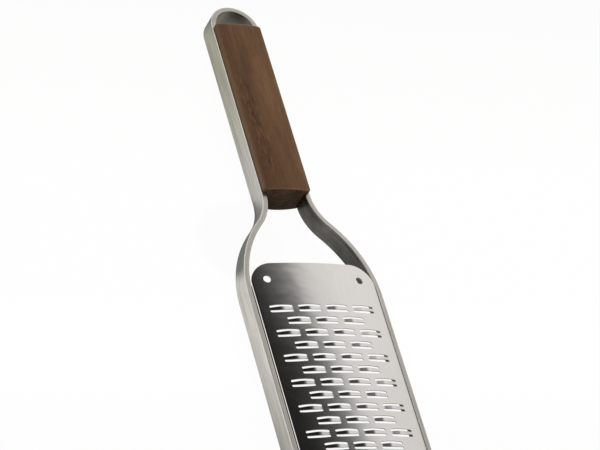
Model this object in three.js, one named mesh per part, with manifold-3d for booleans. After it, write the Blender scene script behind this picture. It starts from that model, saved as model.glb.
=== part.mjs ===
// Rasp grater: a bent steel strap frame, a walnut handle block and an arched grating blade.
// Millimetres. X runs across the grater, +Y towards the hanging loop, +Z out of the grating face.
// The origin is at the middle of the grater, on the surface that its back rests on.
import * as THREE from 'three'
import { mergeVertices } from 'three/addons/utils/BufferGeometryUtils.js'
import Module from 'manifold-3d'

const wasm = await Module()
wasm.setup()

// Overall size and the gap left between pieces that touch
const overallLength = 320
const overallWidth = 76
const seatGap = 0.3

// Frame strap
const strapThickness = 2.85
const strapHeight = 11.2
const strapEdgeBreak = 0.4
const handleWidth = 28.1
const shoulderLength = 61.5
const shoulderStraight = 3
const upperBendShare = 0.3
const toeCornerRadius = 18

// Walnut block
const woodLength = 107.7
const woodFrontProud = 3.7
const woodFrontRise = 0.95
const woodFrontRadius = 0.6
const woodBackProud = 3.6
const woodBackRise = 2.4
const woodBackRadius = 1.7
const woodSideInset = 0.65
const woodEndBreak = 0.5
const woodCornerRadius = 1.6
const crownShares = [0.7, 0.42, 0.14, -0.14, -0.42, -0.7]

// Cross pins inside the block
const pinRadius = 1.5
const pinSpacing = 70
const pinSocketDepth = 1.2

// Grating blade
const bladeThickness = 0.5
const bladeLength = 142
const bladeTopInset = 44.3
const bladeEdgeLift = 0.4
const bladeArchRise = 2.4
const bladeBendRadius = 0.8
const bladeFlangeDepth = 6
const bladeSideGap = 0.5
const bladeCornerRadius = 12.7
const bladeHoleRadius = 2
const bladeHoleEndInset = 9.3
const bladeHoleSideInset = 8.6

// Teeth: a window with a raised bridge across it
const toothPitch = 15.28
const rowPitch = 7.09
const firstRowInset = 28
const lastRowInset = 24
const teethSideInset = 5.3
const slitHalfLength = 6.2
const slitWidth = 1.25
const slitSpacing = 2.6
const upperSheetBow = 0.45
const lowerSheetBow = 0.15
const upperBridgeBow = 0.25
const lowerBridgeBow = 0.3
const bridgeRise = 0.6
const ridgeHalfWidth = 1.6
const bridgeLap = 0.6
const bridgeSinkShare = 0.2
const slitShares = [-1, -0.6, -0.2, 0.2, 0.6, 1]

// Rubber toe foot
const footWall = 1.5
const footGrip = 3.5
const footCornerAngle = Math.PI / 3
const grooveExtraAngle = Math.PI / 36

// One overrun serves every cut
const overrun = 2
const roundSides = 24
const quarterTurn = Math.PI / 2

// Places that several pieces share
const strapBack = woodBackProud
const strapFront = strapBack + strapHeight
const strapMiddle = strapBack + strapHeight / 2
const loopRadius = (handleWidth - strapThickness) / 2
const crownY = overallLength / 2
const loopCentreY = crownY - handleWidth / 2
const woodTopY = loopCentreY
const woodBottomY = woodTopY - woodLength
const shoulderEndY = woodBottomY - shoulderLength
const toeY = -overallLength / 2 + footWall + seatGap
const handleLineX = loopRadius
const bladeLineX = (overallWidth - strapThickness) / 2
const bladeHalfWidth = overallWidth / 2 - strapThickness - bladeSideGap
const bladeTopY = woodBottomY - bladeTopInset
const bladeBottomY = bladeTopY - bladeLength

const steelColor = 0xa9a59c
const bladeColor = 0xc9c6c0
const walnutColor = 0x5c4635
const rubberColor = 0x1d1d1f

// A closed geometry as a solid for cutting and joining
function toSolid(geometry) {
  const bare = geometry.clone()
  bare.deleteAttribute('normal')
  bare.deleteAttribute('uv')
  const merged = mergeVertices(bare)
  return new wasm.Manifold(new wasm.Mesh({
    numProp: 3,
    vertProperties: new Float32Array(merged.attributes.position.array),
    triVerts: new Uint32Array(merged.index.array)
  }))
}

// A solid back as a geometry with flat faces
function toGeometry(solid) {
  const mesh = solid.getMesh()
  const geometry = new THREE.BufferGeometry()
  geometry.setAttribute('position', new THREE.BufferAttribute(mesh.vertProperties, 3))
  geometry.setIndex(new THREE.BufferAttribute(mesh.triVerts, 1))
  const flat = geometry.toNonIndexed()
  flat.computeVertexNormals()
  return flat
}

// A plan outline raised from one height to another
function raise(shape, low, high) {
  const geometry = new THREE.ExtrudeGeometry(shape, { depth: high - low, bevelEnabled: false })
  return geometry.translate(0, 0, low)
}

// A section drawn in X and Z, carried along Y from one place to another
function carry(points, fromY, toY) {
  return raise(new THREE.Shape(points), 0, toY - fromY).rotateX(quarterTurn).translate(0, toY, 0)
}

function arcPoints(centreX, centreY, radius, fromAngle, toAngle, steps) {
  const points = []
  for (let i = 0; i <= steps; i++) {
    const angle = fromAngle + (toAngle - fromAngle) * i / steps
    points.push(new THREE.Vector2(centreX + radius * Math.cos(angle), centreY + radius * Math.sin(angle)))
  }
  return points
}

// A rectangle with round corners, about the X axis's zero
function roundedPlan(halfWidth, lowY, highY, radius, steps) {
  const right = halfWidth - radius
  const corners = [
    [right, lowY + radius, -quarterTurn, 0],
    [right, highY - radius, 0, quarterTurn],
    [-right, highY - radius, quarterTurn, 2 * quarterTurn],
    [-right, lowY + radius, 2 * quarterTurn, 3 * quarterTurn]
  ]
  return new THREE.Shape(corners.flatMap(([x, y, from, to]) => arcPoints(x, y, radius, from, to, steps)))
}

function circlePlan(x, y, radius) {
  return new THREE.Shape(arcPoints(x, y, radius, 0, 4 * quarterTurn, roundSides).slice(1))
}

// The strap's middle line on the right side, from the loop's crown to the end of the toe's corner.
// Each station keeps its place and the direction that points away from the grater's middle.
function bandStations() {
  const stations = []
  const place = (x, y, angle) => stations.push({ x, y, nx: Math.cos(angle), ny: Math.sin(angle) })
  const sweep = (x, y, radius, from, to, steps, side) => {
    for (let i = 0; i <= steps; i++) {
      const angle = from + (to - from) * i / steps
      place(x + radius * side * Math.cos(angle), y + radius * side * Math.sin(angle), angle)
    }
  }
  const outward = bladeLineX - handleLineX
  const turn = 2 * Math.atan(outward / (shoulderLength + shoulderStraight))
  const bendSum = (shoulderLength - shoulderStraight * Math.cos(turn)) / Math.sin(turn)
  const upperRadius = bendSum * upperBendShare
  const lowerRadius = bendSum - upperRadius
  const toeRadius = toeCornerRadius - strapThickness / 2
  sweep(0, loopCentreY, loopRadius, quarterTurn, 0, 12, 1)
  sweep(handleLineX + upperRadius, woodBottomY, upperRadius, 0, turn, 6, -1)
  sweep(bladeLineX - lowerRadius, shoulderEndY, lowerRadius, turn, 0, 7, 1)
  sweep(bladeLineX - toeRadius, toeY + toeCornerRadius, toeRadius, 0, -quarterTurn, 9, 1)
  return stations
}

// Both sides of the strap's middle line as one ring of stations, counter-clockwise
function bandRing() {
  const right = bandStations()
  const left = right.slice(1).map(({ x, y, nx, ny }) => ({ x: -x, y, nx: -nx, ny }))
  return [...left, ...right.reverse()]
}

function offsetStation(station, distance) {
  return new THREE.Vector2(station.x + station.nx * distance, station.y + station.ny * distance)
}

function frameBand() {
  const ring = bandRing()
  const plan = new THREE.Shape(ring.map(station => offsetStation(station, strapThickness / 2)))
  plan.holes.push(new THREE.Path(ring.map(station => offsetStation(station, -strapThickness / 2))))
  const strap = new THREE.ExtrudeGeometry(plan, {
    depth: strapHeight - 2 * strapEdgeBreak,
    bevelEnabled: true,
    bevelThickness: strapEdgeBreak,
    bevelSize: strapEdgeBreak,
    bevelOffset: -strapEdgeBreak,
    bevelSegments: 1
  })
  strap.translate(0, 0, strapBack + strapEdgeBreak)
  return toGeometry(toSolid(strap).subtract(pinRods(strapThickness - pinSocketDepth, pinRadius + seatGap)))
}

// Cross pins, or the bores that take them, ending a set distance inside the strap's outer faces
function pinRods(endInset, radius) {
  const length = handleWidth - 2 * endInset
  const rods = pinPlaces().map(y => toSolid(pinRod(radius, length, y)))
  return rods.reduce((all, rod) => all.add(rod))
}

function pinRod(radius, length, y) {
  const rod = new THREE.CylinderGeometry(radius, radius, length, roundSides)
  return rod.rotateZ(quarterTurn).translate(0, y, strapMiddle)
}

function pinPlaces() {
  const middle = (woodTopY + woodBottomY) / 2
  return [middle + pinSpacing / 2, middle - pinSpacing / 2]
}

function handlePin(y) {
  const length = handleWidth - 2 * (strapThickness - pinSocketDepth + seatGap)
  return pinRod(pinRadius, length, y)
}

// A crowned face from its right edge to its left: a wide arc between two small edge arcs.
// The edge height is where the wide arc would meet the sides, and depth draws it inwards.
function crownedFace(halfWidth, edgeHeight, rise, edgeRadius, depth, crownXs) {
  const wide = (halfWidth * halfWidth + rise * rise) / (2 * rise)
  const wideCentre = edgeHeight + rise - wide
  const edgeX = halfWidth - edgeRadius
  const edgeCentre = wideCentre + Math.sqrt((wide - edgeRadius) ** 2 - edgeX * edgeX)
  const tangent = Math.atan2(edgeCentre - wideCentre, edgeX)
  const right = arcPoints(edgeX, edgeCentre, edgeRadius - depth, 0, tangent, 4)
  const radius = wide - depth
  const crown = crownXs.map(x => {
    const drawn = x * radius / wide
    return new THREE.Vector2(drawn, wideCentre + Math.sqrt(radius ** 2 - drawn ** 2))
  })
  const left = right.map(({ x, y }) => new THREE.Vector2(-x, y)).reverse()
  return [...right, ...crown, ...left]
}

// A section with a flatter crown in front and a rounder one behind, with its ends broken
// and a groove along each side
function handleBlock() {
  const halfWidth = handleWidth / 2 - woodSideInset
  const frontEdge = strapHeight / 2 + woodFrontProud - woodFrontRise
  const backEdge = strapHeight / 2 + woodBackProud - woodBackRise
  const crownXs = crownShares.map(share => share * halfWidth)
  const front = crownedFace(halfWidth, frontEdge, woodFrontRise, woodFrontRadius, 0, crownXs)
  const back = crownedFace(halfWidth, backEdge, woodBackRise, woodBackRadius, 0, crownXs)
    .map(({ x, y }) => new THREE.Vector2(-x, -y))
  const block = new THREE.ExtrudeGeometry(new THREE.Shape([...front, ...back]), {
    depth: woodLength - 2 * woodEndBreak,
    bevelEnabled: true,
    bevelThickness: woodEndBreak,
    bevelSize: woodEndBreak,
    bevelOffset: -woodEndBreak,
    bevelSegments: 2
  })
  block.rotateX(quarterTurn).translate(0, woodTopY - woodEndBreak, strapMiddle)
  const plan = roundedPlan(halfWidth, woodBottomY, woodTopY, woodCornerRadius, 4)
  const trim = raise(plan, -overrun, strapFront + woodFrontProud + overrun)
  return toGeometry(toSolid(block).intersect(toSolid(trim))
    .subtract(sideGroove(1))
    .subtract(sideGroove(-1))
    .subtract(pinRods(0, pinRadius + seatGap)))
}

// The groove that the strap lies in, open to the side and at both ends
function sideGroove(side) {
  const depth = strapThickness + seatGap + overrun
  const groove = new THREE.BoxGeometry(depth, woodLength + 2 * overrun, strapHeight + 2 * seatGap)
  const middle = handleWidth / 2 - strapThickness - seatGap + depth / 2
  return toSolid(groove.translate(side * middle, (woodTopY + woodBottomY) / 2, strapMiddle))
}

// Places along the arch where its facets meet: on every tooth's middle and halfway between
function archXs() {
  const reach = bladeHalfWidth - bladeBendRadius
  const step = toothPitch / 2
  const count = Math.ceil(reach / step) - 1
  const xs = []
  for (let i = count; i >= -count; i--) {
    xs.push(i * step)
  }
  return xs
}

function bladeFace(depth) {
  const edgeHeight = strapFront + bladeEdgeLift
  return crownedFace(bladeHalfWidth, edgeHeight, bladeArchRise, bladeBendRadius, depth, archXs())
}

// Height of the sheet's outer face above a place across the blade, along its facets
function archHeight(x) {
  const face = bladeFace(0)
  const after = face.findIndex(point => point.x <= x)
  const a = face[after - 1]
  const b = face[after]
  return a.y + (b.y - a.y) * (x - a.x) / (b.x - a.x)
}

function toothPlaces() {
  const places = []
  const firstY = bladeTopY - firstRowInset
  const rowCount = Math.floor((firstY - bladeBottomY - lastRowInset) / rowPitch) + 1
  const rowReach = 2 * (bladeHalfWidth - teethSideInset - slitHalfLength)
  const longRowCount = Math.floor(rowReach / toothPitch) + 1
  for (let row = 0; row < rowCount; row++) {
    const count = row % 2 === 0 ? longRowCount : longRowCount - 1
    for (let i = 0; i < count; i++) {
      places.push({ x: (i - (count - 1) / 2) * toothPitch, y: firstY - row * rowPitch })
    }
  }
  return places
}

// A strip between two bowed edges in plan, each given by its place at the ends and its bow
function bowedPlan(tooth, reach, lowY, lowBow, highY, highBow) {
  const bowAt = (share, bow) => bow * Math.max(0, 1 - (share * reach / slitHalfLength) ** 2)
  const edge = (endY, bow) => slitShares.map(share => {
    return new THREE.Vector2(tooth.x + share * reach, tooth.y + endY + bowAt(share, bow))
  })
  return new THREE.Shape([...edge(lowY, lowBow), ...edge(highY, highBow).reverse()])
}

function toothWindow(tooth) {
  const low = -slitWidth / 2
  const high = slitSpacing + slitWidth / 2
  return bowedPlan(tooth, slitHalfLength, low, -lowerSheetBow, high, upperSheetBow)
}

// The bridge over a window: a thin strip that climbs to a soft ridge in the middle
function toothBridge(tooth) {
  const sink = bladeThickness * bridgeSinkShare
  const reach = slitHalfLength + bridgeLap
  const ridge = bridgeRise * (1 - ridgeHalfWidth / slitHalfLength)
  const crest = (bridgeRise + ridge) / 2
  const half = [[reach, -sink], [slitHalfLength, -sink], [ridgeHalfWidth, ridge]]
  const stations = [...half.map(([x, z]) => [-x, z]), [0, crest], ...half.slice().reverse()]
  const top = stations.map(([x, z]) => new THREE.Vector2(tooth.x + x, archHeight(tooth.x + x) + z))
  const under = stations.map(([x, z]) => {
    const thickness = z < 0 ? bladeThickness - 2 * sink : bladeThickness
    return new THREE.Vector2(tooth.x + x, archHeight(tooth.x + x) + z - thickness)
  })
  const low = slitWidth / 2
  const high = slitSpacing - slitWidth / 2
  const strip = carry([...under, ...top.reverse()], tooth.y + low - overrun, tooth.y + high + overrun)
  const plan = bowedPlan(tooth, reach, low, -lowerBridgeBow, high, upperBridgeBow)
  const cutter = raise(plan, strapBack, strapFront + bladeEdgeLift + bladeArchRise + bridgeRise + overrun)
  return toSolid(strip).intersect(toSolid(cutter))
}

function bladeHoles() {
  const x = bladeHalfWidth - bladeHoleSideInset
  const ys = [bladeTopY - bladeHoleEndInset, bladeBottomY + bladeHoleEndInset]
  return ys.flatMap(y => [circlePlan(x, y, bladeHoleRadius), circlePlan(-x, y, bladeHoleRadius)])
}

function gratingBlade() {
  const flangeFoot = strapFront + bladeEdgeLift - bladeFlangeDepth
  const outer = bladeFace(0)
  const inner = bladeFace(bladeThickness).reverse()
  const innerX = bladeHalfWidth - bladeThickness
  const section = [
    new THREE.Vector2(bladeHalfWidth, flangeFoot),
    ...outer,
    new THREE.Vector2(-bladeHalfWidth, flangeFoot),
    new THREE.Vector2(-innerX, flangeFoot),
    ...inner,
    new THREE.Vector2(innerX, flangeFoot)
  ]
  const top = strapFront + bladeEdgeLift + bladeArchRise + overrun
  const plan = roundedPlan(bladeHalfWidth, bladeBottomY, bladeTopY, bladeCornerRadius, 10)
  const teeth = toothPlaces()
  const sheet = toSolid(carry(section, bladeBottomY - overrun, bladeTopY + overrun))
    .intersect(toSolid(raise(plan, flangeFoot - overrun, top)))
    .subtract(toSolid(raise([...bladeHoles(), ...teeth.map(toothWindow)], flangeFoot, top)))
  return toGeometry(teeth.reduce((blade, tooth) => blade.add(toothBridge(tooth)), sheet))
}

// A stretch of the strap's plan round the toe, widened by a distance on both sides,
// that turns the corners by an angle
function toePlan(widening, cornerAngle) {
  const toeRadius = toeCornerRadius - strapThickness / 2
  const centreX = bladeLineX - toeRadius
  const centreY = toeY + toeCornerRadius
  const down = -quarterTurn
  const far = down + cornerAngle
  const outerRadius = toeRadius + strapThickness / 2 + widening
  const innerRadius = toeRadius - strapThickness / 2 - widening
  const outerRight = arcPoints(centreX, centreY, outerRadius, down, far, 6)
  const innerRight = arcPoints(centreX, centreY, innerRadius, far, down, 6)
  const mirror = points => points.map(({ x, y }) => new THREE.Vector2(-x, y)).reverse()
  return new THREE.Shape([...outerRight, ...innerRight, ...mirror(innerRight), ...mirror(outerRight)])
}

function toeFoot() {
  const top = strapBack + footGrip
  const outline = toePlan(seatGap + footWall, footCornerAngle)
  const groovePlan = toePlan(seatGap, footCornerAngle + grooveExtraAngle)
  const body = toSolid(raise(outline, 0, top))
  return toGeometry(body.subtract(toSolid(raise(groovePlan, strapBack - seatGap, top + overrun))))
}

function addPiece(group, name, geometry, color, roughness, metalness) {
  const material = new THREE.MeshStandardMaterial({ color, roughness, metalness })
  const mesh = new THREE.Mesh(geometry, material)
  mesh.name = name
  group.add(mesh)
}

const grater = new THREE.Group()
const [upperPinY, lowerPinY] = pinPlaces()
addPiece(grater, 'frame_band', frameBand(), steelColor, 0.38, 1)
addPiece(grater, 'handle_block', handleBlock(), walnutColor, 0.55, 0)
addPiece(grater, 'handle_pin_upper', handlePin(upperPinY), steelColor, 0.4, 1)
addPiece(grater, 'handle_pin_lower', handlePin(lowerPinY), steelColor, 0.4, 1)
addPiece(grater, 'grating_blade', gratingBlade(), bladeColor, 0.22, 1)
addPiece(grater, 'toe_foot', toeFoot(), rubberColor, 0.85, 0)

export default grater
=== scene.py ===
import math

import bmesh
import bpy
from mathutils import Euler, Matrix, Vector


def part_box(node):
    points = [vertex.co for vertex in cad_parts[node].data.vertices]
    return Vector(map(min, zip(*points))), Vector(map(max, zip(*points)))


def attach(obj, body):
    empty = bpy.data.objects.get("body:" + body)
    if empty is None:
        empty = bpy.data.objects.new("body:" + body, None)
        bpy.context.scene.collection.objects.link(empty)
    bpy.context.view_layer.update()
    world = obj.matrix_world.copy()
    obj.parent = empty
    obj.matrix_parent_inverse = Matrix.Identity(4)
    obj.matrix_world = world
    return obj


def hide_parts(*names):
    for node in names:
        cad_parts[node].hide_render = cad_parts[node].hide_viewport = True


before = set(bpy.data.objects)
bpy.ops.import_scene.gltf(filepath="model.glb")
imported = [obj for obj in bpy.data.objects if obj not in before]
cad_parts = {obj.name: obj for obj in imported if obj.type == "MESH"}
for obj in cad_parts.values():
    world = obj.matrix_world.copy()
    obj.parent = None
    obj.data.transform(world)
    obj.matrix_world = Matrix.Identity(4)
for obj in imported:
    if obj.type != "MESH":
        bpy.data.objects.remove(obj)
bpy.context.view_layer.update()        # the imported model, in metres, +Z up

mm = 0.001
quarterTurn = math.pi / 2
noiseSpan = (0.3, 0.7)        # nearly all values of a noise lie between these
print("frame loaded:", sorted(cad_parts))


# Mesh helpers

def finishMesh(name, bm, material, sharpAngle=32):
    bmesh.ops.recalc_face_normals(bm, faces=bm.faces)
    for face in bm.faces:
        face.smooth = True
    for edge in bm.edges:
        if len(edge.link_faces) == 2:
            edge.smooth = edge.calc_face_angle() < math.radians(sharpAngle)
    mesh = bpy.data.meshes.new(name)
    bm.to_mesh(mesh)
    bm.free()
    mesh.materials.append(material)
    piece = bpy.data.objects.new(name, mesh)
    bpy.context.scene.collection.objects.link(piece)
    return piece


def roundOff(radius, e):
    # how far a rounded edge draws back at a distance from the end
    return 0 if e >= radius else radius - math.sqrt(radius ** 2 - (radius - e) ** 2)


def roundCorners(corners):
    # corners are (x, y, radius), and each becomes a short arc
    # a point close beside each end of the arc keeps the sides flat
    steps = 4
    beside = 0.06 * mm
    points = []
    for i, (x, y, radius) in enumerate(corners):
        here = Vector((x, y))
        if radius == 0:
            points.append(here)
            continue
        before = (Vector(corners[i - 1][:2]) - here).normalized()
        after = (Vector(corners[(i + 1) % len(corners)][:2]) - here).normalized()
        half = before.angle(after) / 2
        centre = here + (before + after).normalized() * radius / math.sin(half)
        start = here + before * radius / math.tan(half) - centre
        end = here + after * radius / math.tan(half) - centre
        points.append(centre + start + before * beside)
        fromAngle = math.atan2(start.y, start.x)
        turn = (math.atan2(end.y, end.x) - fromAngle + math.pi) % (2 * math.pi) - math.pi
        for step in range(steps + 1):
            angle = fromAngle + turn * step / steps
            points.append(centre + radius * Vector((math.cos(angle), math.sin(angle))))
        points.append(centre + end + after * beside)
    return points


def sweepSection(bm, stations, section, closed):
    # stations are (x, y, nx, ny, distance); section points are (sideways, height)
    innerReach = 0.3 * mm        # the mark of the inner face fades out within this
    uvLayer = bm.loops.layers.uv.new("UVMap")
    # innerFace marks the inner face, where the strap's material paints shade
    innerLayer = bm.verts.layers.float.new("innerFace")
    innermost = min(n for n, _ in section)
    rings = []
    for x, y, nx, ny, _ in stations:
        ring = [bm.verts.new((x + nx * n, y + ny * n, z)) for n, z in section]
        for vert, (n, _) in zip(ring, section):
            vert[innerLayer] = max(0, 1 - (n - innermost) / innerReach)
        rings.append(ring)
    around = [0]
    for i in range(len(section)):
        around.append(around[-1] + (section[(i + 1) % len(section)] - section[i]).length)
    lapEnd = stations[-1][4] + (Vector(stations[0][:2]) - Vector(stations[-1][:2])).length
    spans = len(stations) if closed else len(stations) - 1
    for i in range(spans):
        j = (i + 1) % len(stations)
        far = lapEnd if j == 0 else stations[j][4]
        for k in range(len(section)):
            m = (k + 1) % len(section)
            face = bm.faces.new((rings[i][k], rings[i][m], rings[j][m], rings[j][k]))
            corners = [(stations[i][4], around[k]), (stations[i][4], around[k + 1]),
                       (far, around[k + 1]), (far, around[k])]
            for loop, uv in zip(face.loops, corners):
                loop[uvLayer].uv = uv
    if not closed:
        bm.faces.new(rings[0])
        bm.faces.new(rings[-1])


# Node helpers

def newMaterial(name):
    material = bpy.data.materials.new(name)
    material.use_nodes = True
    material.node_tree.nodes.clear()
    return material, material.node_tree


def addNode(tree, kind, settings=None, **inputs):
    # an input is a value or another node's output; "In0" stands for the first socket
    made = tree.nodes.new("ShaderNode" + kind)
    for key, value in (settings or {}).items():
        setattr(made, key, value)
    for key, value in inputs.items():
        numbered = key.startswith("In") and key[2:].isdigit()
        socket = made.inputs[int(key[2:]) if numbered else key]
        if isinstance(value, bpy.types.NodeSocket):
            tree.links.new(value, socket)
        else:
            socket.default_value = value
    return made


def calculate(tree, operation, *values):
    inputs = {f"In{i}": value for i, value in enumerate(values)}
    return addNode(tree, "Math", {"operation": operation}, **inputs).outputs[0]


def scaleVector(tree, vector, scale):
    return addNode(tree, "VectorMath", {"operation": "SCALE"}, In0=vector, Scale=scale).outputs[0]


def mixValues(tree, factor, first, second):
    return addNode(tree, "Mix", {"data_type": "FLOAT"}, Factor=factor, In2=first, In3=second).outputs[0]


def mixColors(tree, factor, first, second, blend="MIX"):
    first, second = [(*color, 1) if isinstance(color, tuple) else color for color in (first, second)]
    settings = {"data_type": "RGBA", "blend_type": blend}
    return addNode(tree, "Mix", settings, Factor=factor, In6=first, In7=second).outputs[2]


def multiplyColors(tree, first, second):
    return mixColors(tree, 1.0, first, second, "MULTIPLY")


def addRamp(tree, factor, stops):
    ramp = addNode(tree, "ValToRGB", Fac=factor)
    elements = ramp.color_ramp.elements
    while len(elements) < len(stops):
        elements.new(0.5)
    for element, (place, color) in zip(elements, stops):
        element.position = place
        element.color = (*color, 1) if isinstance(color, tuple) else (color, color, color, 1)
    return ramp.outputs["Color"]


def mapRange(tree, value, start, end, low=0, high=1, kind="LINEAR"):
    ends = {"From Min": start, "From Max": end, "To Min": low, "To Max": high}
    return addNode(tree, "MapRange", {"interpolation_type": kind}, Value=value, **ends).outputs[0]


def smoothBetween(tree, value, start, end):
    # 0 at the start, 1 at the end
    return mapRange(tree, value, start, end, kind="SMOOTHSTEP")


def addNoise(tree, coordinates, stretch, detail, roughness):
    mapped = addNode(tree, "Mapping", Vector=coordinates, Scale=stretch).outputs[0]
    made = addNode(tree, "TexNoise", Vector=mapped, Scale=1, Detail=detail, Roughness=roughness)
    return made.outputs["Fac"]


def addBump(tree, height, strength, depth, **below):
    return addNode(tree, "Bump", Height=height, Strength=strength, Distance=depth, **below).outputs[0]


def endMaterial(tree, shader):
    output = addNode(tree, "OutputMaterial")
    tree.links.new(shader.outputs[0], output.inputs["Surface"])


def rgb(red, green, blue):
    # a colour written as the eye sees it, 0 to 255, in the renderer's linear values
    def linear(value):
        share = value / 255
        return share / 12.92 if share <= 0.04045 else ((share + 0.055) / 1.055) ** 2.4
    return linear(red), linear(green), linear(blue)


# Frame strap

strap = {
    "thickness": 2.85 * mm,
    "edgeRadius": 0.5 * mm,
    "innerEdgeRadius": 0.3 * mm,
    "handleWidth": 28.1 * mm,
    "shoulderLength": 61.5 * mm,
    "shoulderStraight": 3 * mm,
    "upperBendShare": 0.3,
    "toeCornerRadius": 18 * mm,
    "step": 1.5 * mm,
    "fewestSteps": 6,
    # the finish; each noise has its stretch, detail and roughness
    "brushLines": ((55, 5200, 1), 4, 0.6),      # fine, along the strap
    "streaks": ((28, 900, 1), 2, 0.5),          # wider and softer
    "handMarks": ((90, 90, 90), 2, 0.5),
    "streakShare": 0.5,
    "handMarkShare": 0.45,
    "outsideColors": [(0.36, rgb(190, 189, 183)), (0.64, rgb(232, 230, 224))],
    # the inner faces get darker colours than the outer ones, a painted shade
    "insideColors": [(0.36, rgb(90, 89, 86)), (0.64, rgb(144, 142, 137))],
    "insideShadeSpan": (7 * mm, 19 * mm),             # painted shade on the inner face, lighter towards the handle
    "insideShadeTones": (0.76, 1.38),
    "loopSpan": (146 * mm, 150 * mm),           # beyond it the faces are more alike
    "loopShadeShares": (0.2, 0.42),                # shares of the painted shade on the loop's outer and inner faces
    "roughness": (0.28, 0.4),
    "brushBump": (0.25, 0.03 * mm),             # strength and depth
}
strapLow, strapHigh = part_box("frame_band")
woodLow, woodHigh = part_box("handle_block")
strapBack, strapFront = strapLow[2], strapHigh[2]


def bandHalf():
    # the strap's middle line from the loop's crown down the right side to the toe
    half = strap["thickness"] / 2
    loopRadius = strap["handleWidth"] / 2 - half
    bladeLine = strapHigh[0] - half
    toeRadius = strap["toeCornerRadius"] - half
    shoulderLength = strap["shoulderLength"]
    straight = strap["shoulderStraight"]
    turn = 2 * math.atan((bladeLine - loopRadius) / (shoulderLength + straight))
    bendSum = (shoulderLength - straight * math.cos(turn)) / math.sin(turn)
    upper = bendSum * strap["upperBendShare"]
    lower = bendSum - upper
    shoulderEnd = woodLow[1] - shoulderLength
    arcs = [
        (0, strapHigh[1] - strap["handleWidth"] / 2, loopRadius, quarterTurn, 0, 1),
        (loopRadius + upper, woodLow[1], upper, 0, turn, -1),
        (bladeLine - lower, shoulderEnd, lower, turn, 0, 1),
        (bladeLine - toeRadius, strapLow[1] + strap["toeCornerRadius"], toeRadius, 0, -quarterTurn, 1),
    ]
    points = []
    for centreX, centreY, radius, start, end, side in arcs:
        steps = max(strap["fewestSteps"], round(abs(end - start) * radius / strap["step"]))
        for i in range(steps + 1):
            angle = start + (end - start) * i / steps
            nx, ny = math.cos(angle), math.sin(angle)
            points.append((centreX + side * radius * nx, centreY + side * radius * ny, nx, ny))
    return points


def withDistances(points):
    stations = []
    distance = 0
    for i, point in enumerate(points):
        if i:
            distance += (Vector(point[:2]) - Vector(points[i - 1][:2])).length
        stations.append((*point, distance))
    return stations


def bandStations():
    right = bandHalf()
    left = [(-x, y, -nx, ny) for x, y, nx, ny in right[1:]]
    return withDistances(left + right[::-1])


def strapSteel():
    material, tree = newMaterial("strapSteel")
    uv = addNode(tree, "UVMap", {"uv_map": "UVMap"}).outputs["UV"]
    place = addNode(tree, "TexCoord").outputs["Object"]
    brush = addNoise(tree, uv, *strap["brushLines"])
    streaks = addNoise(tree, uv, *strap["streaks"])
    handMarks = addNoise(tree, place, *strap["handMarks"])
    tone = mixValues(tree, strap["streakShare"], brush, streaks)
    marked = mixValues(tree, strap["handMarkShare"], tone, handMarks)
    along = addNode(tree, "SeparateXYZ", Vector=place).outputs["Y"]
    # the inner face's painted shade, scaled lighter towards the handle
    insideShadeScale = mapRange(tree, along, *strap["insideShadeSpan"], *strap["insideShadeTones"])
    outside = addRamp(tree, tone, strap["outsideColors"])
    shadedInside = scaleVector(tree, addRamp(tree, marked, strap["insideColors"]), insideShadeScale)
    inner = addNode(tree, "Attribute", {"attribute_name": "innerFace"}).outputs["Fac"]
    # in the loop the painted shade is shared between the outer and inner faces
    inLoop = smoothBetween(tree, along, *strap["loopSpan"])
    paintedShade = mixValues(tree, inLoop, inner, mixValues(tree, inner, *strap["loopShadeShares"]))
    # the inner faces take the darker colours, a painted shade
    color = mixColors(tree, paintedShade, outside, shadedInside)
    gloss = mixValues(tree, strap["streakShare"], streaks, handMarks)
    roughness = mapRange(tree, gloss, *noiseSpan, *strap["roughness"])
    bump = addBump(tree, brush, *strap["brushBump"])
    shader = addNode(tree, "BsdfPrincipled", Metallic=1.0, Roughness=roughness, Normal=bump,
                     **{"Base Color": color})
    endMaterial(tree, shader)
    return material


def buildBand():
    half = strap["thickness"] / 2
    radius, inner = strap["edgeRadius"], strap["innerEdgeRadius"]
    section = roundCorners([(half, strapBack, radius), (half, strapFront, radius),
                            (-half, strapFront, inner), (-half, strapBack, inner)])
    bm = bmesh.new()
    sweepSection(bm, bandStations(), section, True)
    return finishMesh("strap_band", bm, strapSteel())


# Walnut block

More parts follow.
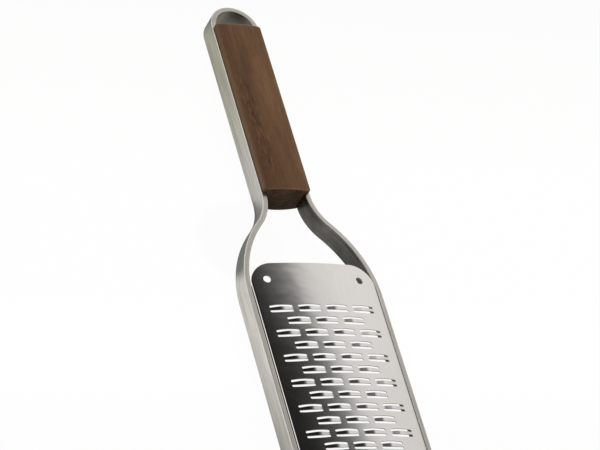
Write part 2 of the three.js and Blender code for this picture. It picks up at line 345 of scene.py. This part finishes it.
wood = {
    "sideInset": 0.65 * mm,
    "front": {"rise": 0.95 * mm, "edgeRadius": 0.6 * mm},
    "back": {"rise": 2.4 * mm, "edgeRadius": 1.7 * mm},
    "endBreak": 0.5 * mm,
    "cornerRadius": 1.6 * mm,
    "grooveGap": 0.3 * mm,
    "lipBreak": 0.15 * mm,
    "edgeSteps": 6,
    "crownSteps": 20,
    "lengthSteps": 12,
    "endSteps": [0, 0.02, 0.06, 0.13, 0.22, 0.34, 0.5, 0.7, 1, 1.3, 1.6, 2.4],   # mm from each end
    "edgeSheenLoss": 0.6,                    # the share of the painted sheen that is gone where the edge ends
    "endSheenReach": 1.1 * mm,
    "sharpAngle": 40,                       # degrees above which an edge stays sharp
    # the finish; each noise has its stretch, detail and roughness
    "bend": ((90, 14, 90), 2, 0.5),
    "bendShift": 6 * mm,
    "figure": ((150, 22, 150), 3, 0.55),
    "lines": ((900, 30, 900), 3, 0.6),
    "pores": ((2600, 190, 2600), 2, 0.5),
    "ticks": ((1000, 170, 1000), 4, 0.65),
    "rings": ((260, 40, 1100), 3, 0.6),
    "heartwood": (-3 * mm, 5 * mm),         # the darker left side passes into the lighter right side
    "darkSide": [(0.32, rgb(72, 49, 31)), (0.5, rgb(81, 56, 36)), (0.7, rgb(89, 63, 42))],
    "lightSide": [(0.32, rgb(85, 59, 38)), (0.5, rgb(95, 68, 45)), (0.7, rgb(105, 77, 52))],
    "lineTones": [(0.35, 0.92), (0.65, 1.05)],
    "poreTones": [(0.3, 0.8), (0.42, 1.0)],
    "ticksMiddle": (-4 * mm, 80 * mm),
    "ticksAcross": (5 * mm, 1.5 * mm),      # the group starts at the first and is full within the second
    "ticksAlong": (34 * mm, 22 * mm),
    "tickStrengths": (0.16, 0.86),          # outside the group and in it
    "tickTints": [                          # dark ticks, and a lighter gleam between them
        ([(0.49, 0.0), (0.57, 0.9)], rgb(58, 36, 22)),
        ([(0.38, 0.35), (0.44, 0.0)], rgb(110, 82, 60)),
    ],
    # a lighter colour on the rounded edges and near the ends, a painted sheen
    "sheenColor": rgb(140, 116, 90),
    "sheenShare": 0.4,
    "endFacing": [(0.75, 0.0), (0.95, 1.0)],
    "endGrainTurn": math.radians(35),
    "endColors": [(0.36, rgb(56, 39, 25)), (0.64, rgb(92, 69, 48))],
    "roughness": [(0.3, 0.66), (0.6, 0.52)],
    "poreBump": (0.3, 0.06 * mm),           # strength and depth
    "specular": 0.2,
}
woodMiddle = (strapBack + strapFront) / 2
woodHalf = strap["handleWidth"] / 2 - wood["sideInset"]
woodCore = strap["handleWidth"] / 2 - strap["thickness"] - wood["grooveGap"]
woodLip = (strapFront - strapBack) / 2 + wood["grooveGap"]


def crownedSide(form, crown):
    # (x, height over the middle, painted sheen) of one face of the block, from its right edge to its left
    edge, rise = form["edgeRadius"], form["rise"]
    wide = (woodHalf ** 2 + rise ** 2) / (2 * rise)
    wideCentre = crown - wide
    edgeX = woodHalf - edge
    edgeCentre = wideCentre + math.sqrt((wide - edge) ** 2 - edgeX ** 2)
    tangent = math.atan2(edgeCentre - wideCentre, edgeX)
    lowest = max(edgeCentre, woodLip + 2 * wood["lipBreak"])
    start = math.asin((lowest - edgeCentre) / edge)
    lipX = edgeX + edge * math.cos(start)
    right = [
        (woodCore, woodLip, 0),
        (lipX - wood["lipBreak"], woodLip, 0),
        (lipX, woodLip + wood["lipBreak"], 1),
    ]
    steps = wood["edgeSteps"]
    for i in range(steps + 1):
        angle = start + (tangent - start) * i / steps
        sheen = 1 - wood["edgeSheenLoss"] * i / steps
        right.append((edgeX + edge * math.cos(angle), edgeCentre + edge * math.sin(angle), sheen))
    crowned = []
    steps = wood["crownSteps"]
    for i in range(1, steps):
        angle = tangent + (math.pi - 2 * tangent) * i / steps
        crowned.append((wide * math.cos(angle), wideCentre + wide * math.sin(angle), 0))
    return right + crowned + [(-x, z, sheen) for x, z, sheen in reversed(right)]


def walnutFinish():
    material, tree = newMaterial("oiledWalnut")
    place = addNode(tree, "TexCoord").outputs["Object"]
    bend = addNode(tree, "CombineXYZ", X=addNoise(tree, place, *wood["bend"])).outputs[0]
    shift = scaleVector(tree, bend, wood["bendShift"])
    grainPlace = addNode(tree, "VectorMath", {"operation": "ADD"}, In0=place, In1=shift).outputs[0]
    figure = addNoise(tree, grainPlace, *wood["figure"])
    lines = addNoise(tree, grainPlace, *wood["lines"])
    pores = addNoise(tree, grainPlace, *wood["pores"])
    ticks = addNoise(tree, grainPlace, *wood["ticks"])
    across = addNode(tree, "SeparateXYZ", Vector=grainPlace).outputs["X"]
    along = addNode(tree, "SeparateXYZ", Vector=place).outputs["Y"]

    heart = smoothBetween(tree, across, *wood["heartwood"])
    darker = addRamp(tree, figure, wood["darkSide"])
    lighter = addRamp(tree, figure, wood["lightSide"])
    color = mixColors(tree, heart, darker, lighter)
    color = multiplyColors(tree, color, addRamp(tree, lines, wood["lineTones"]))

    # a wandering group of dark ticks along the grain, which are faint elsewhere
    middleX, middleY = wood["ticksMiddle"]
    aside = calculate(tree, "ABSOLUTE", calculate(tree, "SUBTRACT", across, middleX))
    away = calculate(tree, "ABSOLUTE", calculate(tree, "SUBTRACT", along, middleY))
    group = calculate(tree, "MULTIPLY", smoothBetween(tree, aside, *wood["ticksAcross"]),
                      smoothBetween(tree, away, *wood["ticksAlong"]))
    strength = mixValues(tree, group, *wood["tickStrengths"])
    for stops, tint in wood["tickTints"]:
        shown = calculate(tree, "MULTIPLY", strength, addRamp(tree, ticks, stops))
        color = mixColors(tree, shown, color, tint)
    color = multiplyColors(tree, color, addRamp(tree, pores, wood["poreTones"]))

    # painted sheen: the rounded edges and ends are lighter, as if catching the light
    sheen = addNode(tree, "Attribute", {"attribute_name": "edgeSheen"}).outputs["Fac"]
    sheenShown = calculate(tree, "MULTIPLY", sheen, wood["sheenShare"])
    color = mixColors(tree, sheenShown, color, wood["sheenColor"])

    normal = addNode(tree, "TexCoord").outputs["Normal"]
    facing = calculate(tree, "ABSOLUTE", addNode(tree, "SeparateXYZ", Vector=normal).outputs["Y"])
    onEnd = addRamp(tree, facing, wood["endFacing"])
    slanted = addNode(tree, "Mapping", Vector=place, Rotation=(0, wood["endGrainTurn"], 0)).outputs[0]
    rings = addNoise(tree, slanted, *wood["rings"])
    color = mixColors(tree, onEnd, color, addRamp(tree, rings, wood["endColors"]))

    roughness = addRamp(tree, pores, wood["roughness"])
    bump = addBump(tree, pores, *wood["poreBump"])
    shader = addNode(tree, "BsdfPrincipled", Roughness=roughness, Normal=bump,
                     **{"Base Color": color, "Specular IOR Level": wood["specular"]})
    endMaterial(tree, shader)
    return material


def buildWood():
    frontCrown = woodHigh[2] - woodMiddle
    backCrown = woodMiddle - woodLow[2]
    section = [(x, z, sheen, frontCrown) for x, z, sheen in crownedSide(wood["front"], frontCrown)]
    section += [(-x, -z, sheen, backCrown) for x, z, sheen in crownedSide(wood["back"], backCrown)]
    bottom, top = woodLow[1], woodHigh[1]
    ends = [step * mm for step in wood["endSteps"]]
    steps = wood["lengthSteps"]
    between = [bottom + (top - bottom) * i / steps for i in range(1, steps)]
    ys = [bottom + e for e in ends] + between + [top - e for e in reversed(ends)]
    clearly = 0.01 * mm        # a point this far out is past the groove's lip or core
    bm = bmesh.new()
    sheenLayer = bm.verts.layers.float.new("edgeSheen")
    rings = []
    for y in ys:
        e = min(y - bottom, top - y)
        drop = roundOff(wood["endBreak"], e)
        corner = max(drop, roundOff(wood["cornerRadius"], e))
        narrow = (woodHalf - corner) / woodHalf
        ring = []
        for x, z, edgeSheen, crown in section:
            onBarrel = abs(z) > woodLip + clearly
            low = (crown - drop - woodLip) / (crown - woodLip)
            newX = x * narrow if abs(x) > woodCore + clearly or onBarrel else x
            newZ = math.copysign(woodLip + (abs(z) - woodLip) * low, z) if onBarrel else z
            vert = bm.verts.new((newX, y, woodMiddle + newZ))
            endSheen = max(0, 1 - e / wood["endSheenReach"]) if onBarrel else 0
            vert[sheenLayer] = max(edgeSheen, endSheen)
            ring.append(vert)
        rings.append(ring)
    for lower, upper in zip(rings, rings[1:]):
        for k in range(len(section)):
            m = (k + 1) % len(section)
            bm.faces.new((lower[k], lower[m], upper[m], upper[k]))
    bm.faces.new(rings[0])
    bm.faces.new(rings[-1])
    return finishMesh("walnut_block", bm, walnutFinish(), wood["sharpAngle"])


# Grating blade

blade = {
    "thickness": 0.5 * mm,
    "edgeLift": 0.4 * mm,
    "archRise": 2.4 * mm,
    "bendRadius": 0.7 * mm,
    "flangeDepth": 6 * mm,
    "flangeShares": (0.33, 0.67, 1),
    "cornerRadius": 12.7 * mm,
    "holeRadius": 2 * mm,
    "holeEndInset": 9.3 * mm,
    "holeSideInset": 8.6 * mm,
    "closer": 0.25 * mm,         # how much nearer the strap than the solid
    "archSteps": 60,             # on each half, besides the columns at teeth and holes
    "columnGap": 0.25 * mm,
    "holeSteps": 12,
    "bendSteps": 6,
    # the finish; each noise has its stretch, detail and roughness
    "rollingLines": ((2600, 60, 2600), 3, 0.55),
    "cloud": ((60, 45, 60), 2, 0.5),
    "wave": ((110, 140, 110), 1, 0.5),           # a hardly seen unevenness of the sheet
    "colors": [(0.3, rgb(207, 207, 207)), (0.7, rgb(212, 211, 210))],
    "roughness": (0.07, 0.1),
    "waveBump": (1.0, 0.03 * mm),                # strength and depth
    "lineBump": (0.012, 0.02 * mm),
}
teeth = {
    "pitch": 15.28 * mm,
    "rowPitch": 7.09 * mm,
    "firstRowInset": 28 * mm,
    "lastRowInset": 24 * mm,
    "longRow": 4,
    "halfLength": 6.2 * mm,
    "slitWidth": 1.25 * mm,
    "slitEndAngles": (0, 22, 45, 66, 90),        # degrees round a slit's end, one column at each
    "spacing": 2.6 * mm,
    "upperSheetBow": 0.45 * mm,
    "lowerSheetBow": 0.15 * mm,
    "upperBridgeBow": 0.25 * mm,
    "lowerBridgeBow": 0.3 * mm,
    "rise": 0.6 * mm,
    "ridge": 1.6 * mm,
    "ridgeColumns": (0, 0.3 * mm, 0.6 * mm),
    "foot": 0.9 * mm,
}
bladeLow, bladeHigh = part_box("grating_blade")
bladeHalf = bladeHigh[0] + blade["closer"]
holeX = bladeHigh[0] - blade["holeSideInset"]
digits = 7        # of a metre, to which the sheet's columns and points are rounded


def bridgeHeight(u):
    # a roof with a soft ridge and soft feet, over a distance from the tooth's middle
    reach, ridge, foot = teeth["halfLength"], teeth["ridge"], teeth["foot"]
    slope = teeth["rise"] / reach
    if u >= reach:
        return 0
    if u > reach - foot:
        return slope * (reach - u) ** 2 / (2 * foot)
    if u < ridge:
        return slope * (reach - foot / 2 - ridge / 2 - u ** 2 / (2 * ridge))
    return slope * (reach - foot / 2 - u)


def neededColumns(tangentX):
    # the places across the sheet where a tooth or a hole starts, turns or ends, or the arch ends
    reach, radius = teeth["halfLength"], teeth["slitWidth"] / 2
    offsets = [*teeth["ridgeColumns"], teeth["ridge"], reach - teeth["foot"]]
    offsets += [reach - radius * (1 - math.sin(math.radians(a))) for a in teeth["slitEndAngles"]]
    needed = set()
    for k in range(1 - teeth["longRow"], teeth["longRow"]):
        centre = k * teeth["pitch"] / 2
        needed.update(round(centre + side * offset, digits) for offset in offsets for side in (-1, 1))
    steps = blade["holeSteps"]
    for i in range(steps + 1):
        offset = blade["holeRadius"] * math.cos(math.pi * i / steps)
        needed.update(round(side * holeX + offset, digits) for side in (-1, 1))
    needed.update(round(side * tangentX, digits) for side in (-1, 1))
    return needed


def archColumns():
    # (x, z, nx, nz) of the sheet's outer face from the left flange's foot to the right one's
    rise, bend = blade["archRise"], blade["bendRadius"]
    edgeHeight = strapFront + blade["edgeLift"]
    wide = (bladeHalf ** 2 + rise ** 2) / (2 * rise)
    wideCentre = edgeHeight + rise - wide
    bendX = bladeHalf - bend
    bendZ = wideCentre + math.sqrt((wide - bend) ** 2 - bendX ** 2)
    tangent = math.atan2(bendZ - wideCentre, bendX)
    tangentX = wide * math.cos(tangent)
    places = neededColumns(tangentX)
    steps = blade["archSteps"]
    for i in range(-steps, steps + 1):
        x = tangentX * i / steps
        if min(abs(x - other) for other in places) > blade["columnGap"]:
            places.add(round(x, digits))
    hair = 1e-9        # metres, for the last digit of a sum
    arch = []
    for x in sorted(x for x in places if abs(x) <= tangentX + hair):
        nx = x / wide
        nz = math.sqrt(1 - nx ** 2)
        arch.append((x, wideCentre + wide * nz, nx, nz))
    right = []
    steps = blade["bendSteps"]
    for i in range(1, steps + 1):
        angle = tangent * (1 - i / steps)
        nx, nz = math.cos(angle), math.sin(angle)
        right.append((bendX + bend * nx, bendZ + bend * nz, nx, nz))
    footZ = edgeHeight - blade["flangeDepth"]
    right += [(bladeHalf, bendZ + (footZ - bendZ) * share, 1, 0) for share in blade["flangeShares"]]
    left = [(-x, z, -nx, nz) for x, z, nx, nz in reversed(right)]
    return left + arch + right


def toothRows():
    # each row's place along the blade, from the toe's end up, and its teeth's middles
    first = bladeHigh[1] - teeth["firstRowInset"]
    count = math.floor((first - bladeLow[1] - teeth["lastRowInset"]) / teeth["rowPitch"]) + 1
    rows = []
    for row in reversed(range(count)):
        number = teeth["longRow"] - row % 2
        middles = [(i - (number - 1) / 2) * teeth["pitch"] for i in range(number)]
        rows.append((first - row * teeth["rowPitch"], middles))
    return rows


def bladeLevels():
    # functions of x that give (y, lift), in pairs: the first and second of a pair bound a band of sheet
    corner = blade["cornerRadius"]

    def edgeDrop(x):
        return roundOff(corner, bladeHalf - abs(x)) if abs(x) > bladeHalf - corner else 0

    def low(x):
        return bladeLow[1] + edgeDrop(x)

    def high(x):
        return bladeHigh[1] - edgeDrop(x)

    def level(place):
        def found(x):
            y, lift = place(x)
            return min(max(y, low(x)), high(x)), lift
        return found

    def holeEdge(y, side):
        def place(x):
            reach = blade["holeRadius"] ** 2 - (abs(x) - holeX) ** 2
            return y + side * math.sqrt(max(0, reach)), 0
        return place

    def slitEdge(y, middles, side, bow, lifted):
        reach, width = teeth["halfLength"], teeth["slitWidth"] / 2

        def place(x):
            u = min(abs(x - middle) for middle in middles)
            if u >= reach - 10 ** -digits:
                return y, 0
            tip = max(0, (u - (reach - width)) / width)
            arc = math.sqrt(max(0, 1 - tip ** 2))
            bowed = y + side * width * arc + bow * (1 - (u / reach) ** 2)
            return bowed, bridgeHeight(u) if lifted else 0
        return place

    levels = [lambda x: (low(x), 0)]
    bottomHole = bladeLow[1] + blade["holeEndInset"]
    topHole = bladeHigh[1] - blade["holeEndInset"]
    levels += [level(holeEdge(bottomHole, -1)), level(holeEdge(bottomHole, 1))]
    for y, middles in toothRows():
        upper = y + teeth["spacing"]
        levels += [
            level(slitEdge(y, middles, -1, -teeth["lowerSheetBow"], False)),
            level(slitEdge(y, middles, 1, -teeth["lowerBridgeBow"], True)),
            level(slitEdge(upper, middles, -1, teeth["upperBridgeBow"], True)),
            level(slitEdge(upper, middles, 1, teeth["upperSheetBow"], False)),
        ]
    levels += [level(holeEdge(topHole, -1)), level(holeEdge(topHole, 1))]
    levels.append(lambda x: (high(x), 0))
    return levels


def bladeSteel():
    material, tree = newMaterial("bladeSteel")
    place = addNode(tree, "TexCoord").outputs["Object"]
    lines = addNoise(tree, place, *blade["rollingLines"])
    cloud = addNoise(tree, place, *blade["cloud"])
    wave = addNoise(tree, place, *blade["wave"])
    color = addRamp(tree, lines, blade["colors"])
    roughness = mapRange(tree, cloud, *noiseSpan, *blade["roughness"])
    uneven = addBump(tree, wave, *blade["waveBump"])
    bump = addBump(tree, lines, *blade["lineBump"], Normal=uneven)
    shader = addNode(tree, "BsdfPrincipled", Metallic=1.0, Roughness=roughness, Normal=bump,
                     **{"Base Color": color})
    endMaterial(tree, shader)
    return material


def buildBlade():
    columns = archColumns()
    levels = bladeLevels()
    bm = bmesh.new()
    skins = []
    for depth in (0, blade["thickness"]):
        found = {}
        grid = []
        for j, (x, z, nx, nz) in enumerate(columns):
            line = []
            for level in levels:
                y, lift = level(x)
                key = (j, round(y, digits), round(lift, digits))
                if key not in found:
                    out = lift - depth
                    found[key] = bm.verts.new((x + nx * out, y, z + nz * out))
                line.append(found[key])
            grid.append(line)
        skins.append(grid)
    outer, inner = skins
    twin = {}
    for outerLine, innerLine in zip(outer, inner):
        twin.update(zip(outerLine, innerLine))
    for j in range(len(columns) - 1):
        for k in range(0, len(levels) - 1, 2):
            corners = [outer[j][k], outer[j + 1][k], outer[j + 1][k + 1], outer[j][k + 1]]
            corners = [vert for i, vert in enumerate(corners) if vert is not corners[i - 1]]
            if len(corners) > 2:
                bm.faces.new(corners)
                bm.faces.new([twin[vert] for vert in reversed(corners)])
    rims = [edge.verts for edge in bm.edges if edge.is_boundary]
    for a, b in rims:
        if a in twin and b in twin:
            bm.faces.new((a, b, twin[b], twin[a]))
    loose = [vert for vert in bm.verts if not vert.link_faces]
    bmesh.ops.delete(bm, geom=loose, context="VERTS")
    return finishMesh("blade_sheet", bm, bladeSteel())


# Rubber toe foot

foot = {
    "wall": 1.5 * mm,
    "gap": 0.3 * mm,
    "cornerAngle": math.radians(60),
    "cornerSteps": 14,
    "edgeRadius": 0.5 * mm,
    "sharpAngle": 40,
    # the finish; each noise has its stretch, detail and roughness
    "grain": ((1800, 1800, 1800), 3, 0.6),
    "dust": ((120, 120, 120), 3, 0.5),
    "colors": [(0.35, rgb(33, 33, 35)), (0.75, rgb(46, 46, 47))],
    "grainBump": (0.3, 0.05 * mm),      # strength and depth
    "roughness": 0.78,
    "specular": 0.35,
}
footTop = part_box("toe_foot")[1][2]


def footRubber():
    material, tree = newMaterial("footRubber")
    place = addNode(tree, "TexCoord").outputs["Object"]
    color = addRamp(tree, addNoise(tree, place, *foot["dust"]), foot["colors"])
    bump = addBump(tree, addNoise(tree, place, *foot["grain"]), *foot["grainBump"])
    shader = addNode(tree, "BsdfPrincipled", Roughness=foot["roughness"], Normal=bump,
                     **{"Base Color": color, "Specular IOR Level": foot["specular"]})
    endMaterial(tree, shader)
    return material


def buildFoot():
    slot = strap["thickness"] / 2 + foot["gap"]
    outer = slot + foot["wall"]
    radius = foot["edgeRadius"]
    floor = strapBack - foot["gap"]
    section = roundCorners([
        (outer, 0, radius), (outer, footTop, radius), (slot, footTop, radius / 2), (slot, floor, 0),
        (-slot, floor, 0), (-slot, footTop, radius / 2), (-outer, footTop, radius), (-outer, 0, radius)])
    corner = strap["toeCornerRadius"] - strap["thickness"] / 2
    centreX = strapHigh[0] - strap["toeCornerRadius"]
    centreY = strapLow[1] + strap["toeCornerRadius"]
    right = []
    steps = foot["cornerSteps"]
    for i in range(steps + 1):
        angle = -quarterTurn + foot["cornerAngle"] * i / steps
        nx, ny = math.cos(angle), math.sin(angle)
        right.append((centreX + corner * nx, centreY + corner * ny, nx, ny))
    left = [(-x, y, -nx, ny) for x, y, nx, ny in reversed(right)]
    bm = bmesh.new()
    sweepSection(bm, withDistances(left + right), section, False)
    return finishMesh("rubber_foot", bm, footRubber(), foot["sharpAngle"])


# Cross pins, hidden in the wood

pin = {
    "turnedLines": ((4000, 300, 300), 2, 0.5),      # stretch, detail and roughness
    "roughness": [(0.3, 0.3), (0.7, 0.45)],
    "colors": [(0.3, rgb(180, 178, 172)), (0.7, rgb(202, 200, 194))],
}


def pinSteel():
    material, tree = newMaterial("pinSteel")
    place = addNode(tree, "TexCoord").outputs["Object"]
    turned = addNoise(tree, place, *pin["turnedLines"])
    roughness = addRamp(tree, turned, pin["roughness"])
    color = addRamp(tree, turned, pin["colors"])
    shader = addNode(tree, "BsdfPrincipled", Metallic=1.0, Roughness=roughness, **{"Base Color": color})
    endMaterial(tree, shader)
    return material


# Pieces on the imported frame

band = buildBand()
block = buildWood()
sheet = buildBlade()
toe = buildFoot()
print("pieces built:", [piece.name for piece in (band, block, sheet, toe)])

for piece, node, slot in [
        (band, "frame_band", "strap_steel"),
        (block, "handle_block", "walnut"),
        (sheet, "grating_blade", "blade_steel"),
        (toe, "toe_foot", "foot_rubber")]:
    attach(piece, "root")
    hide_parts(node)

pinFinish = pinSteel()
for name in ("handle_pin_upper", "handle_pin_lower"):
    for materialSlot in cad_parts[name].material_slots:
        materialSlot.material = pinFinish
print("pieces placed")


# Studio: floor, world, lamp and camera

studio = {
    "floorSize": 8,
    "floorDrop": 0.05 * mm,
    "floorWhite": 0.97,                     # share of plain white that the camera sees in the floor
    "floorInMetal": 0.15,                   # the same share where metal shows the floor
    "paperLength": (-140 * mm, 190 * mm),   # from the toe to behind the loop
    # painted shade on the paper, darker at the toe and behind the loop and slightly warm between; it
    # darkens what the metal reflects
    "paperShadeTones": [(0.0, 0.5), (0.14, 0.64), (0.21, 0.84), (0.26, 0.97), (0.31, 1.0), (0.38, 0.78),
                   (0.62, 0.73), (0.69, (0.63, 0.62, 0.56)), (0.75, (0.55, 0.54, 0.46)),
                   (0.81, (0.46, 0.455, 0.37)), (0.88, (0.4, 0.405, 0.32)), (0.93, 0.1), (1.0, 0.05)],
    # round patches of painted shade on the paper beside the left shoulder
    "shades": [
        {"middle": (-25 * mm, 17 * mm, 0), "fade": (19 * mm, 28 * mm)},
        {"middle": (-11.5 * mm, 36 * mm, 0), "fade": (6.5 * mm, 12.5 * mm)},
    ],
    "shadeColor": (0.06, 0.06, 0.06),
    "strength": 1.12,
    "panelTint": (1, 0.97, 0.935),
    # brightness by the sine of the height above the horizon
    "roomByHeight": [(0.0, 0.9), (0.15, 0.85), (0.4, 0.03), (0.94, 0.03), (1.0, 0.6)],
    "panelByHeight": [(0.0, 0.9), (0.2, 0.95), (0.59, 1.0), (0.67, 0.95), (0.7, 0.89), (0.72, 0.83),
                      (0.735, 0.74), (0.751, 0.5), (0.766, 0.3), (0.781, 0.17), (0.794, 0.115),
                      (0.818, 0.065), (0.85, 0.025), (0.94, 0.02), (1.0, 0.6)],
    # beyond a slanting edge the panel reaches a little higher
    "highPanelByHeight": [(0.0, 0.9), (0.2, 0.95), (0.59, 1.0), (0.67, 0.95), (0.72, 0.88), (0.745, 0.8),
                          (0.76, 0.66), (0.773, 0.44), (0.786, 0.3), (0.8, 0.2), (0.82, 0.07),
                          (0.85, 0.025), (0.94, 0.02), (1.0, 0.6)],
    "highPanelSlant": 155,                  # degrees that the edge moves for each unit of height
    "sidePanelByHeight": [(0.0, 1.1), (0.2, 1.15), (0.7, 1.15), (0.8, 0.7), (0.88, 0.05), (0.94, 0.03),
                          (1.0, 0.6)],
    "fillByHeight": [(0.0, 0.9), (0.25, 0.7), (0.5, 0.45), (0.8, 0.35), (0.94, 0.1), (1.0, 0.6)],
    "panelDimmer": 0.75,
    # where one part of the room passes into the next, in degrees about the vertical from +X towards +Y
    "highPanelEdge": (-71, -69.3),
    "fillEdge": (-40, -15),
    "panelRightEdge": (0, 42),
    "panelDims": (46, 58),
    "panelLeftEdge": (88, 108),
    "sidePanelEdge": (160, 178),
}


def buildFloor():
    bm = bmesh.new()
    bmesh.ops.create_grid(bm, x_segments=1, y_segments=1, size=studio["floorSize"] / 2)
    material, tree = newMaterial("paperFloor")
    place = addNode(tree, "TexCoord").outputs["Object"]
    along = addNode(tree, "SeparateXYZ", Vector=place).outputs["Y"]
    # painted shade on the paper, along its length and in round patches
    tone = addRamp(tree, mapRange(tree, along, *studio["paperLength"]), studio["paperShadeTones"])
    for shade in studio["shades"]:
        away = addNode(tree, "VectorMath", {"operation": "DISTANCE"}, In0=place, In1=shade["middle"])
        clear = smoothBetween(tree, away.outputs["Value"], *shade["fade"])
        tone = mixColors(tree, clear, studio["shadeColor"], tone)
    paper = addNode(tree, "BsdfDiffuse", Color=tone)
    white = addNode(tree, "Emission", Color=(1, 1, 1, 1), Strength=1.0)
    seen = addNode(tree, "LightPath").outputs
    direct = calculate(tree, "ADD", seen["Is Camera Ray"], seen["Is Transmission Ray"])
    shown = calculate(tree, "MULTIPLY", direct, studio["floorWhite"])
    share = calculate(tree, "MULTIPLY_ADD", seen["Is Glossy Ray"], studio["floorInMetal"], shown)
    endMaterial(tree, addNode(tree, "MixShader", In0=share, In1=paper.outputs[0], In2=white.outputs[0]))
    floor = finishMesh("paper_floor", bm, material)
    floor.location.z = -studio["floorDrop"]


def buildWorld():
    world = bpy.data.worlds.new("studioRoom")
    bpy.context.scene.world = world
    world.use_nodes = True
    tree = world.node_tree
    tree.nodes.clear()
    direction = addNode(tree, "SeparateXYZ", Vector=addNode(tree, "TexCoord").outputs["Generated"]).outputs
    height = direction["Z"]
    azimuth = calculate(tree, "ARCTAN2", direction["Y"], direction["X"])

    def past(angle, edge):
        return smoothBetween(tree, angle, *map(math.radians, studio[edge]))

    room = addRamp(tree, height, studio["roomByHeight"])
    lowPanel = addRamp(tree, height, studio["panelByHeight"])
    highPanel = addRamp(tree, height, studio["highPanelByHeight"])
    sidePanel = addRamp(tree, height, studio["sidePanelByHeight"])
    fill = addRamp(tree, height, studio["fillByHeight"])
    slanted = calculate(tree, "MULTIPLY_ADD", height, -math.radians(studio["highPanelSlant"]), azimuth)
    panel = mixColors(tree, past(slanted, "highPanelEdge"), lowPanel, highPanel)
    dimPanel = scaleVector(tree, panel, studio["panelDimmer"])
    color = fill
    for edge, nextColor in [("fillEdge", room), ("panelRightEdge", panel), ("panelDims", dimPanel),
                            ("panelLeftEdge", sidePanel), ("sidePanelEdge", fill)]:
        color = mixColors(tree, past(azimuth, edge), color, nextColor)
    color = multiplyColors(tree, color, studio["panelTint"])
    shown = addNode(tree, "Background", Color=color, Strength=studio["strength"])
    output = addNode(tree, "OutputWorld")
    tree.links.new(shown.outputs[0], output.inputs["Surface"])


keyLamp = {
    "azimuth": 77,          # degrees, from +X towards +Y
    "elevation": 38,
    "distance": 1.4,
    "size": 0.8,
    "power": 18,
}


def buildKeyLamp():
    lamp = bpy.data.lights.new("keyBack", "AREA")
    lamp.size = keyLamp["size"]
    lamp.energy = keyLamp["power"]
    holder = bpy.data.objects.new("keyBack", lamp)
    bpy.context.scene.collection.objects.link(holder)
    a, e = math.radians(keyLamp["azimuth"]), math.radians(keyLamp["elevation"])
    away = Vector((math.cos(e) * math.cos(a), math.cos(e) * math.sin(a), math.sin(e)))
    holder.location = away * keyLamp["distance"]
    holder.rotation_euler = away.to_track_quat("Z", "Y").to_euler()
    holder.visible_camera = False
    holder.visible_glossy = False


photoCamera = {
    "place": (-0.5948, -0.6282, 0.9163),
    "turn": (38.57, -23.814, -15.86),     # degrees about X, Y and Z
    "lens": 150,
    "sensorWidth": 36,
    "nearest": 10 * mm,
}


def buildCamera():
    camera = bpy.data.cameras.new("photoCamera")
    camera.lens = photoCamera["lens"]
    camera.sensor_width = photoCamera["sensorWidth"]
    camera.clip_start = photoCamera["nearest"]
    holder = bpy.data.objects.new("photoCamera", camera)
    holder.location = photoCamera["place"]
    holder.rotation_euler = Euler([math.radians(angle) for angle in photoCamera["turn"]], "XYZ")
    bpy.context.scene.collection.objects.link(holder)
    bpy.context.scene.camera = holder


buildFloor()
buildWorld()
buildKeyLamp()
buildCamera()
bpy.context.scene.view_settings.view_transform = "Standard"
print("studio ready")
